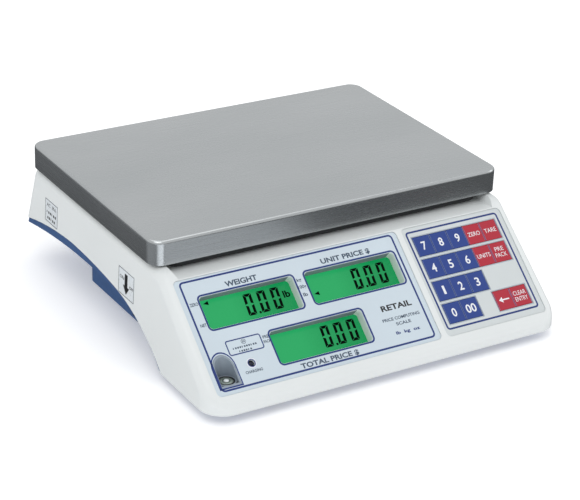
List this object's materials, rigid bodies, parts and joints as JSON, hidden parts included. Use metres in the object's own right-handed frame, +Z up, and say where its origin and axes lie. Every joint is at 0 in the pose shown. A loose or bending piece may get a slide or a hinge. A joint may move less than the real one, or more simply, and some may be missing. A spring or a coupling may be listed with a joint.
{
  "type": "price computing scale",
  "caption": "Low counter scale with a loose rectangular platter, a sloping keypad and display panel, a hull-shaped base and levelling feet.",
  "frame": {"origin": "on the table under the middle of the footprint", "axes": "+X to the operator's right, +Y from the operator's panel to the customer's side, +Z up"},
  "size_m": [0.322, 0.33, 0.11],
  "materials": {
    "platter_steel": "fine straight brushing",
    "carrier_black": "black powder coat on a casting",
    "cell_aluminium": "milled",
    "screw_steel": "zinc plated",
    "pad_rubber": "matte",
    "case_white": "fine satin moulding texture",
    "base_blue": "fine satin moulding texture",
    "film_blue": "printed polyester film",
    "film_grey": "printed polyester film",
    "key_blue": "printed polyester film",
    "key_red": "printed polyester film",
    "mat_rubber": "matte",
    "board_green": "solder mask",
    "backlight_white": "diffusing",
    "display_green": "polished glass over a reflective display",
    "led_red": "clear tinted",
    "cup_grey": "moulded",
    "vial_clear": "polished",
    "core_steel": "varnished laminations",
    "battery_grey": "moulded",
    "switch_black": "moulded",
    "inlet_black": "moulded",
    "foot_black": "black"
  },
  "bodies": {
    "base": {"load_cell": "cell_aluminium", "cell_pedestal": "cell_aluminium", "pedestal_screws": "screw_steel", "overload_stops": "screw_steel", "upper_housing": "case_white", "lower_housing": "base_blue", "case_screws": "screw_steel", "display_film": "film_blue", "keypad_film": "film_grey", "key_mat": "mat_rubber", "keypad_board": "board_green", "backlights": "backlight_white", "display_board": "board_green", "tapping_screws": "screw_steel", "charging_led": "led_red", "level_cup": "cup_grey", "level_vial": "vial_clear", "main_board": "board_green", "transformer": "core_steel", "battery": "battery_grey", "battery_door": "base_blue", "power_switch": "switch_black", "power_inlet": "inlet_black", "rear_film": "film_blue", "rear_displays": "display_green", "rear_board": "board_green", "display_weight": "display_green", "display_unit_price": "display_green", "display_total_price": "display_green"},
    "platform": {"sub_platform": "carrier_black", "platter_pads": "pad_rubber", "cell_spacer": "cell_aluminium", "carrier_screws": "screw_steel"},
    "platter": {"platter": "platter_steel"},
    "rocker": {"power_rocker": "switch_black"},
    "key_7": {"key_7": "key_blue"},
    "key_8": {"key_8": "key_blue"},
    "key_9": {"key_9": "key_blue"},
    "key_zero": {"key_zero": "key_red"},
    "key_tare": {"key_tare": "key_red"},
    "key_4": {"key_4": "key_blue"},
    "key_5": {"key_5": "key_blue"},
    "key_6": {"key_6": "key_blue"},
    "key_units": {"key_units": "key_red"},
    "key_prepack": {"key_prepack": "key_red"},
    "key_1": {"key_1": "key_blue"},
    "key_2": {"key_2": "key_blue"},
    "key_3": {"key_3": "key_blue"},
    "key_0": {"key_0": "key_blue"},
    "key_00": {"key_00": "key_blue"},
    "key_back": {"key_back": "key_red"},
    "key_clear": {"key_clear": "key_red"},
    "pad_front_left": {"foot_pad_front_left": "pad_rubber"},
    "screw_front_left": {"foot_screw_front_left": "foot_black"},
    "pad_front_right": {"foot_pad_front_right": "pad_rubber"},
    "screw_front_right": {"foot_screw_front_right": "foot_black"},
    "pad_rear_left": {"foot_pad_rear_left": "pad_rubber"},
    "screw_rear_left": {"foot_screw_rear_left": "foot_black"},
    "pad_rear_right": {"foot_pad_rear_right": "pad_rubber"},
    "screw_rear_right": {"foot_screw_rear_right": "foot_black"}
  },
  "joints": [
    {"name": "platform_load", "type": "slide", "parent": "base", "child": "platform", "axis": [0, 0, 1], "range_m": [-0.0004, 0], "stiffness_N_per_m": 300000, "springref_m": 0.00005, "deforming": ["load_cell"]},
    {"name": "platter_lift", "type": "slide", "parent": "platform", "child": "platter", "axis": [0, 0, 1], "range_m": [0, 0.04]},
    {"name": "rocker_tilt", "type": "hinge", "parent": "base", "child": "rocker", "pos_m": [-0.1434, -0.023, 0.0286], "axis": [0, 0, 1], "range_deg": [-18, 0]},
    {"name": "press_7", "type": "slide", "parent": "base", "child": "key_7", "axis": [0, 0.6393, -0.769], "range_m": [0, 0.0007], "stiffness_N_per_m": 1800, "springref_m": -0.0004},
    {"name": "press_8", "type": "slide", "parent": "base", "child": "key_8", "axis": [0, 0.6393, -0.769], "range_m": [0, 0.0007], "stiffness_N_per_m": 1800, "springref_m": -0.0004},
    {"name": "press_9", "type": "slide", "parent": "base", "child": "key_9", "axis": [0, 0.6393, -0.769], "range_m": [0, 0.0007], "stiffness_N_per_m": 1800, "springref_m": -0.0004},
    {"name": "press_zero", "type": "slide", "parent": "base", "child": "key_zero", "axis": [0, 0.6393, -0.769], "range_m": [0, 0.0007], "stiffness_N_per_m": 1800, "springref_m": -0.0004},
    {"name": "press_tare", "type": "slide", "parent": "base", "child": "key_tare", "axis": [0, 0.6393, -0.769], "range_m": [0, 0.0007], "stiffness_N_per_m": 1800, "springref_m": -0.0004},
    {"name": "press_4", "type": "slide", "parent": "base", "child": "key_4", "axis": [0, 0.6393, -0.769], "range_m": [0, 0.0007], "stiffness_N_per_m": 1800, "springref_m": -0.0004},
    {"name": "press_5", "type": "slide", "parent": "base", "child": "key_5", "axis": [0, 0.6393, -0.769], "range_m": [0, 0.0007], "stiffness_N_per_m": 1800, "springref_m": -0.0004},
    {"name": "press_6", "type": "slide", "parent": "base", "child": "key_6", "axis": [0, 0.6393, -0.769], "range_m": [0, 0.0007], "stiffness_N_per_m": 1800, "springref_m": -0.0004},
    {"name": "press_units", "type": "slide", "parent": "base", "child": "key_units", "axis": [0, 0.6393, -0.769], "range_m": [0, 0.0007], "stiffness_N_per_m": 1800, "springref_m": -0.0004},
    {"name": "press_prepack", "type": "slide", "parent": "base", "child": "key_prepack", "axis": [0, 0.6393, -0.769], "range_m": [0, 0.0007], "stiffness_N_per_m": 1800, "springref_m": -0.0004},
    {"name": "press_1", "type": "slide", "parent": "base", "child": "key_1", "axis": [0, 0.6393, -0.769], "range_m": [0, 0.0007], "stiffness_N_per_m": 1800, "springref_m": -0.0004},
    {"name": "press_2", "type": "slide", "parent": "base", "child": "key_2", "axis": [0, 0.6393, -0.769], "range_m": [0, 0.0007], "stiffness_N_per_m": 1800, "springref_m": -0.0004},
    {"name": "press_3", "type": "slide", "parent": "base", "child": "key_3", "axis": [0, 0.6393, -0.769], "range_m": [0, 0.0007], "stiffness_N_per_m": 1800, "springref_m": -0.0004},
    {"name": "press_0", "type": "slide", "parent": "base", "child": "key_0", "axis": [0, 0.6393, -0.769], "range_m": [0, 0.0007], "stiffness_N_per_m": 1800, "springref_m": -0.0004},
    {"name": "press_00", "type": "slide", "parent": "base", "child": "key_00", "axis": [0, 0.6393, -0.769], "range_m": [0, 0.0007], "stiffness_N_per_m": 1800, "springref_m": -0.0004},
    {"name": "press_back", "type": "slide", "parent": "base", "child": "key_back", "axis": [0, 0.6393, -0.769], "range_m": [0, 0.0007], "stiffness_N_per_m": 1800, "springref_m": -0.0004},
    {"name": "press_clear", "type": "slide", "parent": "base", "child": "key_clear", "axis": [0, 0.6393, -0.769], "range_m": [0, 0.0007], "stiffness_N_per_m": 1800, "springref_m": -0.0004},
    {"name": "extend_front_left", "type": "slide", "parent": "base", "child": "pad_front_left", "axis": [0, 0, -1], "range_m": [0, 0.005]},
    {"name": "turn_front_left", "type": "hinge", "parent": "pad_front_left", "child": "screw_front_left", "pos_m": [-0.12, -0.115, 0.006], "axis": [0, 0, 1], "range_deg": [0, 1441]},
    {"name": "extend_front_right", "type": "slide", "parent": "base", "child": "pad_front_right", "axis": [0, 0, -1], "range_m": [0, 0.005]},
    {"name": "turn_front_right", "type": "hinge", "parent": "pad_front_right", "child": "screw_front_right", "pos_m": [0.12, -0.115, 0.006], "axis": [0, 0, 1], "range_deg": [0, 1441]},
    {"name": "extend_rear_left", "type": "slide", "parent": "base", "child": "pad_rear_left", "axis": [0, 0, -1], "range_m": [0, 0.005]},
    {"name": "turn_rear_left", "type": "hinge", "parent": "pad_rear_left", "child": "screw_rear_left", "pos_m": [-0.095, 0.132, 0.006], "axis": [0, 0, 1], "range_deg": [0, 1441]},
    {"name": "extend_rear_right", "type": "slide", "parent": "base", "child": "pad_rear_right", "axis": [0, 0, -1], "range_m": [0, 0.005]},
    {"name": "turn_rear_right", "type": "hinge", "parent": "pad_rear_right", "child": "screw_rear_right", "pos_m": [0.095, 0.132, 0.006], "axis": [0, 0, 1], "range_deg": [0, 1441]}
  ],
  "couplings": [
    {"joint": "turn_front_left", "follows": "extend_front_left", "rad_per_m": 5026.5},
    {"joint": "turn_front_right", "follows": "extend_front_right", "rad_per_m": 5026.5},
    {"joint": "turn_rear_left", "follows": "extend_rear_left", "rad_per_m": 5026.5},
    {"joint": "turn_rear_right", "follows": "extend_rear_right", "rad_per_m": 5026.5}
  ]
}
